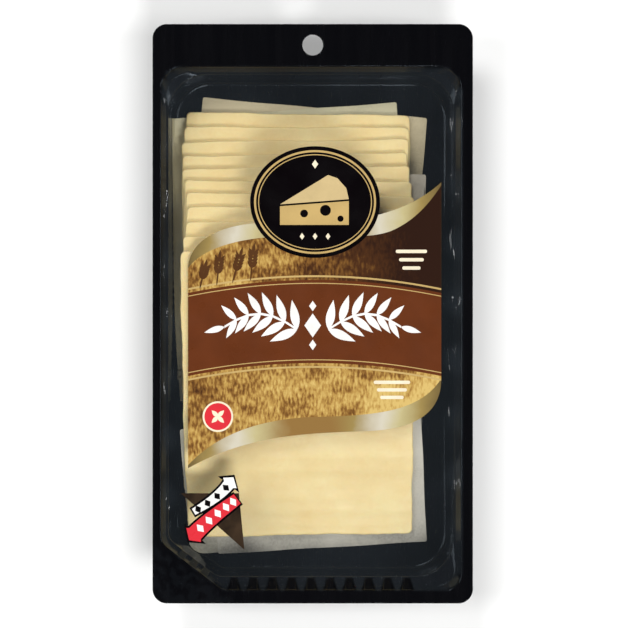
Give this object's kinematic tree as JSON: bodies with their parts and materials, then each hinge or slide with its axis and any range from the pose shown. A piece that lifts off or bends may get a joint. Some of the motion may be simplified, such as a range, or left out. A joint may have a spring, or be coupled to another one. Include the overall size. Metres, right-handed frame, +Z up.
{
  "type": "pack of sliced cheese",
  "caption": "Hang pack of sliced cheese: black formed tray with a chamfered peel corner, clear lidding film, paper sheets, a fanned pile of slices, and a printed label.",
  "frame": {"origin": "middle of the pack's width and length, at the height of the tray's floor, where the pack rests when it lies with its film up", "axes": "+Y along the length towards the hang hole, +X across the width to the right as seen from the film side, +Z up from the tray's floor to the film"},
  "size_m": [0.1234, 0.2232, 0.0247],
  "materials": {
    "tray": "thermoformed black sheet, smooth and glossy",
    "film": "thin clear peelable film, glossy",
    "label": "printed label with metallic gold edges, satin",
    "opening_mark": "printed label, satin",
    "paper": "thin translucent greaseproof paper",
    "cheese": "soft pale yellow cheese, slightly waxy and translucent"
  },
  "bodies": {
    "root": {"tray": "tray", "lid_film": "film", "label": "label", "opening_mark": "opening_mark", "paper_sheet_1": "paper", "paper_sheet_2": "paper", "paper_sheet_3": "paper", "paper_sheet_4": "paper", "paper_sheet_5": "paper", "paper_sheet_6": "paper", "slice_01": "cheese", "slice_02": "cheese", "slice_03": "cheese", "slice_04": "cheese", "slice_05": "cheese", "slice_06": "cheese", "slice_07": "cheese", "slice_08": "cheese", "slice_09": "cheese", "slice_10": "cheese", "slice_11": "cheese"}
  },
  "joints": []
}
